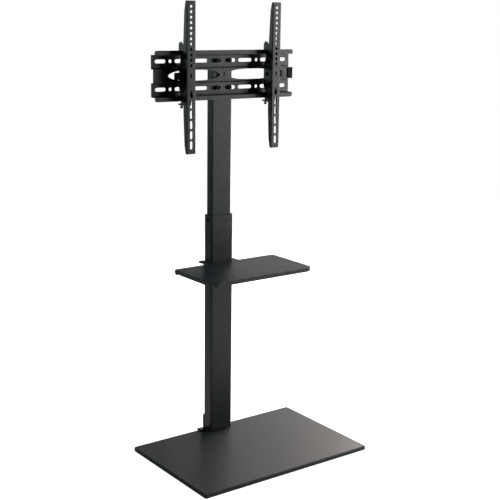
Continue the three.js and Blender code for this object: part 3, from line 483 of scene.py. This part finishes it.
sideScrew = {
    "material": blackSteel,
    "rings": [
        (1.6, 1.9, hexForm),
        (0.1, 2, hexForm),
        (0, 2.5, roundForm),
        (0, 3.8, roundForm),
        (0.5, 4.4, roundForm),
        (2.7, 4.5, roundForm),
        (3, 4.3, roundForm),
    ],
    "shank": 3,
    "pitch": 1,
}
undersideBolt = {
    "material": zincSteel,
    "rings": [
        (0.8, 3.6, roundForm),
        (0.1, 5, roundForm),
        (0, 6.2, roundForm),
        (0.6, 7.5, hexForm),
        (4.6, 7.5, hexForm),
        (5, 6.6, roundForm),
    ],
    "shank": 4,
    "pitch": 1.25,
}
thumbScrew = {
    "material": blackSteel,
    "rings": [
        (0.6, 2, roundForm),
        (0.1, 2.6, roundForm),
        (0, 3.6, roundForm),
        (0.4, 4.3, knurlForm),
        (0.8, 4.6, knurlForm),
        (3.2, 4.6, knurlForm),
        (3.5, 4.3, knurlForm),
        (6.8, 2.7, roundForm),
    ],
    "shank": 2.5,
    "pitch": 0.8,
}
tiltKnob = {
    "material": blackPlastic,
    "sides": 48,
    "rings": [
        (11.2, 4.3, roundForm),
        (21, 4.3, roundForm),
        (21, 7.6, roundForm),
        (18.6, 8, roundForm),
        (17.8, 9.8, squareForm),
        (17, 10.2, squareForm),
        (1.1, 10.2, squareForm),
        (0.3, 9.8, squareForm),
        (0, 9.2, squareForm),
        (0, 5.6, roundForm),
        (0.5, 5.2, roundForm),
    ],
}
nutEdges = {"faceShare": 0.87, "corner": 0.4, "holeDepth": 0.5, "holeFlare": 0.4}  # chamfers


def nut(radius, height, hole):
    face = nutEdges["faceShare"] * radius
    flare = hole + nutEdges["holeFlare"]
    rings = [
        (0, face, roundForm),
        (nutEdges["corner"], radius, hexForm),
        (height - nutEdges["corner"], radius, hexForm),
        (height, face, roundForm),
        (height, flare, roundForm),
        (height - nutEdges["holeDepth"], hole, roundForm),
        (nutEdges["holeDepth"], hole, roundForm),
        (0, flare, roundForm),
    ]
    return {"material": zincSteel, "hollow": True, "rings": rings}


footNut = nut(radius=7.5, height=5, hole=4.3)
guideNut = nut(radius=5.8, height=5, hole=3.3)
shelfNut = nut(radius=4.6, height=4, hole=2.8)
left, right, front, rear, up, down = (-1, 0, 0), (1, 0, 0), (0, -1, 0), (0, 1, 0), (0, 0, 1), (0, 0, -1)
for place in ("upper_left", "upper_right", "lower_left", "lower_right"):
    hardware("plate_bolt_" + place, flangedBolt, rear)
for side, inward, outward in (("left", right, left), ("right", left, right)):
    hardware("pivot_bolt_" + side, pivotBolt, outward)
    hardware("tilt_knob_" + side, tiltKnob, inward)
    hardware("lock_screw_" + side, thumbScrew, up)
    hardware("height_lock_screw_" + side, sideScrew, inward)
    hardware("foot_bolt_" + side, capScrew, down)
    hardware("foot_nut_" + side, footNut, up)
    hardware("foot_inner_bolt_" + side, undersideBolt, up)
    hardware("foot_wall_bolt_" + side, wallScrew, front)
    hardware("shelf_clamp_screw_" + side, clampScrew, front)
    for row in ("upper", "lower"):
        hardware(f"guide_bolt_{row}_{side}", domedBolt, right)
        hardware(f"guide_nut_{row}_{side}", guideNut, right)
for i in range(4):
    hardware(f"shelf_nut_{i + 1}", shelfNut, down)
print("hardware made")

# Finishes of the nodes themselves
shown = {"base_ballast_plate": coatTop}
slotFinish = {
    "powder_coated_steel": coatTube,
    "black_screw_steel": blackSteel,
    "zinc_plated_steel": zincSteel,
    "black_plastic": blackPlastic,
    "black_rubber": blackRubber,
}
for name, node in nodes.items():
    node.data.materials.clear()
    node.data.materials.append(shown.get(name, slotFinish[slotOf[name]]))

# Camera, measured from the photograph: angles in degrees, place in metres
view = {
    "place": (-1.7855, -2.42347, 1.32285),
    "azimuth": -36.26,
    "elevation": 12.8,
    "roll": 0.72,
    "lens": 74.668,
    "sensor": 36,
}
cameraData = bpy.data.cameras.new("camera")
cameraData.lens = view["lens"]
cameraData.sensor_width = view["sensor"]
camera = bpy.data.objects.new("camera", cameraData)
turn = (
    Matrix.Rotation(math.radians(view["azimuth"]), 4, "Z")
    @ Matrix.Rotation(math.radians(90 - view["elevation"]), 4, "X")
    @ Matrix.Rotation(math.radians(view["roll"]), 4, "Z")
)
camera.matrix_world = Matrix.Translation(view["place"]) @ turn
scene.collection.objects.link(camera)
scene.camera = camera

# Lamps: place, aim and size in metres, power in watts
lamps = {
    "front right": {
        "place": (2.5, -1.7, 1.2),
        "aim": (0, 0, 0.9),
        "size": (1.5, 1.5),
        "power": 49.5,
        "colour": "#fcffff",
    },
    "low right": {
        "place": (2.6, 1.2, 0.35),
        "aim": (0, 0, 0),
        "size": (1.2, 0.5),
        "power": 50,
        "colour": "#ffddd4",
    },
    "near right": {
        "place": (1.5, 0.3, 0.5),
        "aim": (0.1, 0, 0),
        "size": (0.9, 0.6),
        "power": 23.5,
        "colour": "#fff8f2",
    },
    "rear right": {
        "place": (2.2, 2.2, 0.9),
        "aim": (0, 0, 0.4),
        "size": (1.6, 1.6),
        "power": 19,
        "colour": "#ffffff",
    },
    "rear left": {
        "place": (-2.3, 1.9, 1.5),
        "aim": (0, 0, 1.1),
        "size": (1.0, 1.0),
        "power": 17.5,
        "colour": "#ebffff",
    },
    "overhead": {
        "place": (0.3, 0.5, 3.0),
        "aim": (0, 0, 0.5),
        "size": (1.2, 1.2),
        "power": 5,
        "colour": "#acd2ff",
    },
    "high right": {
        "place": (2.2, -0.8, 3.2),
        "aim": (0, -0.1, 0),
        "size": (0.5, 0.5),
        "power": 12,
        "colour": "#f2ffff",
    },
}


def softbox(name, look):
    lamp = bpy.data.lights.new(name, "AREA")
    lamp.shape = "RECTANGLE"
    lamp.size, lamp.size_y = look["size"]
    lamp.energy = look["power"]
    lamp.color = linear(look["colour"])[:3]
    box = bpy.data.objects.new(name, lamp)
    aim = Vector(look["aim"]) - Vector(look["place"])
    turn = aim.to_track_quat("-Z", "Y").to_matrix().to_4x4()
    box.matrix_world = Matrix.Translation(look["place"]) @ turn
    scene.collection.objects.link(box)


for name, look in lamps.items():
    softbox(name, look)

# World: white behind the object, a dim studio all round it
studio = {"walls": "#8b9696", "strength": 0.03}
world = bpy.data.worlds.new("studio")
scene.world = world
world.use_nodes = True
world.node_tree.nodes.clear()
tree = world.node_tree
rays = addNode(tree, "ShaderNodeLightPath")
around = addNode(
    tree,
    "ShaderNodeBackground",
    {"Color": linear(studio["walls"]), "Strength": studio["strength"]},
)
behind = addNode(tree, "ShaderNodeBackground", {"Color": (1, 1, 1, 1), "Strength": 1})
worldMix = addNode(
    tree,
    "ShaderNodeMixShader",
    links={
        0: rays.outputs["Is Camera Ray"],
        1: around.outputs["Background"],
        2: behind.outputs["Background"],
    },
)
addNode(tree, "ShaderNodeOutputWorld", links={"Surface": worldMix.outputs["Shader"]})

# Floor: sizes and distances in metres
floorLook = {
    "halfSize": 30,
    "drop": 0.2 * mm,
    "paper": 0.8,
    "fade": {"From Min": 0.35, "From Max": 0.7, "To Min": 0.96, "To Max": 1},
}


def floorMaterial():
    # matt paper sweep: white to the camera, with the shadow kept
    material, tree = newMaterial("white studio floor")
    rays = addNode(tree, "ShaderNodeLightPath")
    paper = addNode(tree, "ShaderNodeBsdfDiffuse", {"Color": (*[floorLook["paper"]] * 3, 1)})
    place = addNode(tree, "ShaderNodeTexCoord").outputs["Object"]
    away = addNode(tree, "ShaderNodeVectorMath", {"operation": "LENGTH"}, {0: place}).outputs["Value"]
    strength = addNode(tree, "ShaderNodeMapRange", floorLook["fade"], {"Value": away}).outputs["Result"]
    glow = addNode(tree, "ShaderNodeEmission", links={"Strength": strength}).outputs["Emission"]
    both = addNode(tree, "ShaderNodeAddShader", links={0: paper.outputs["BSDF"], 1: glow})
    mix = addNode(
        tree,
        "ShaderNodeMixShader",
        links={0: rays.outputs["Is Camera Ray"], 1: paper.outputs["BSDF"], 2: both.outputs["Shader"]},
    )
    addNode(tree, "ShaderNodeOutputMaterial", links={"Surface": mix.outputs["Shader"]})
    return material


floorBm = bmesh.new()
bmesh.ops.create_grid(floorBm, x_segments=1, y_segments=1, size=floorLook["halfSize"])
bmesh.ops.translate(floorBm, verts=floorBm.verts, vec=(0, 0, -floorLook["drop"]))
floorMesh = bpy.data.meshes.new("floor")
floorBm.to_mesh(floorMesh)
floorBm.free()
floorMesh.materials.append(floorMaterial())
floor = bpy.data.objects.new("floor", floorMesh)
scene.collection.objects.link(floor)

scene.view_settings.view_transform = "Standard"
print("scene set")
